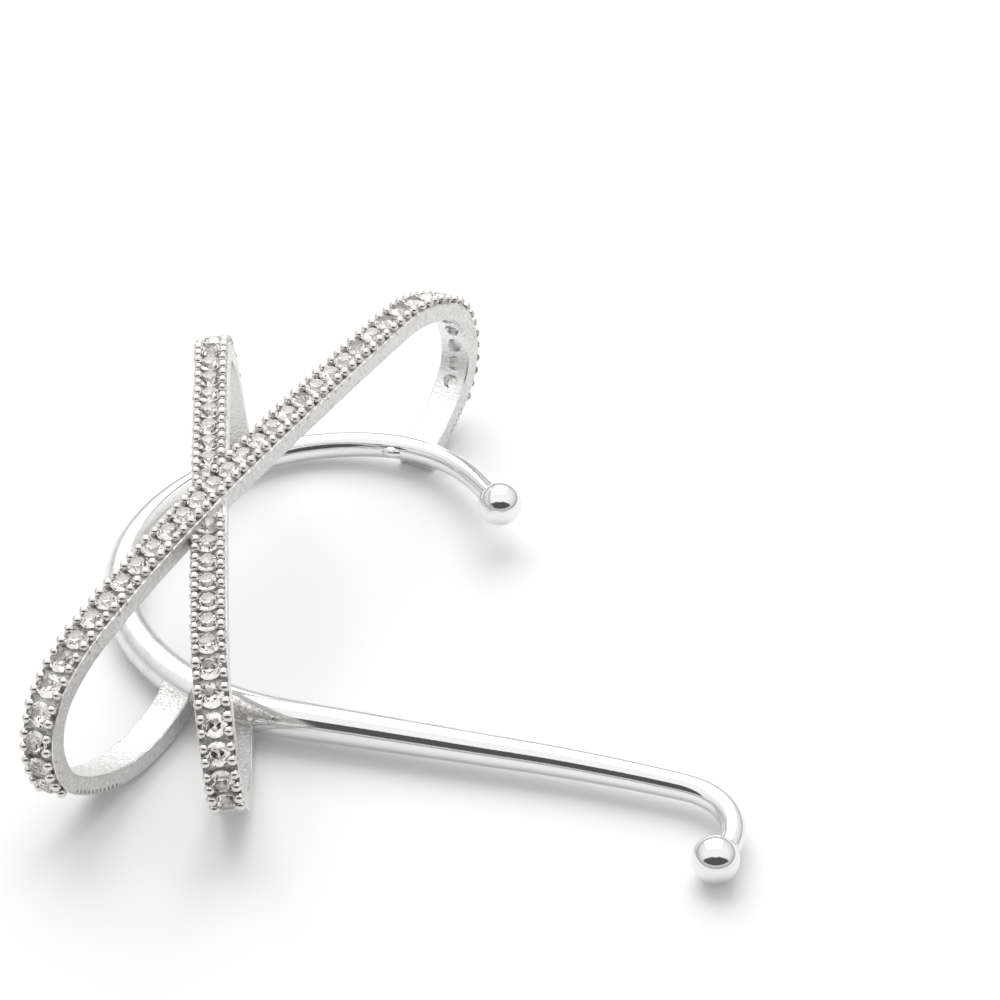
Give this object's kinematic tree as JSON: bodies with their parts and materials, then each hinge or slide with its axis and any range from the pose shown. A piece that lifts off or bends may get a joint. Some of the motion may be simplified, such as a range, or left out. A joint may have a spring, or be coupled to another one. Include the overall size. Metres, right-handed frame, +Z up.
{
  "type": "ear cuff",
  "caption": "Polished ear wire with a hooked arm and ball ends, with two oval bands set with clear round stones crossing in an X over it.",
  "frame": {"origin": "middle of the overall box, on the surface that the cuff rests on", "axes": "+Z up from the surface that the cuff lies on; the arm runs towards +X and ends in its hook at -Y; the bands' stones face up"},
  "size_m": [0.0396, 0.0448, 0.0123],
  "materials": {
    "polished_metal": "polished white metal, fine satin grain on the bands' edges",
    "set_stones": "clear faceted stones in beaded white metal prongs"
  },
  "bodies": {
    "root": {"cuff_frame": "polished_metal", "long_stone_row": "set_stones", "short_stone_row_back": "set_stones", "short_stone_row_front": "set_stones"}
  },
  "joints": []
}
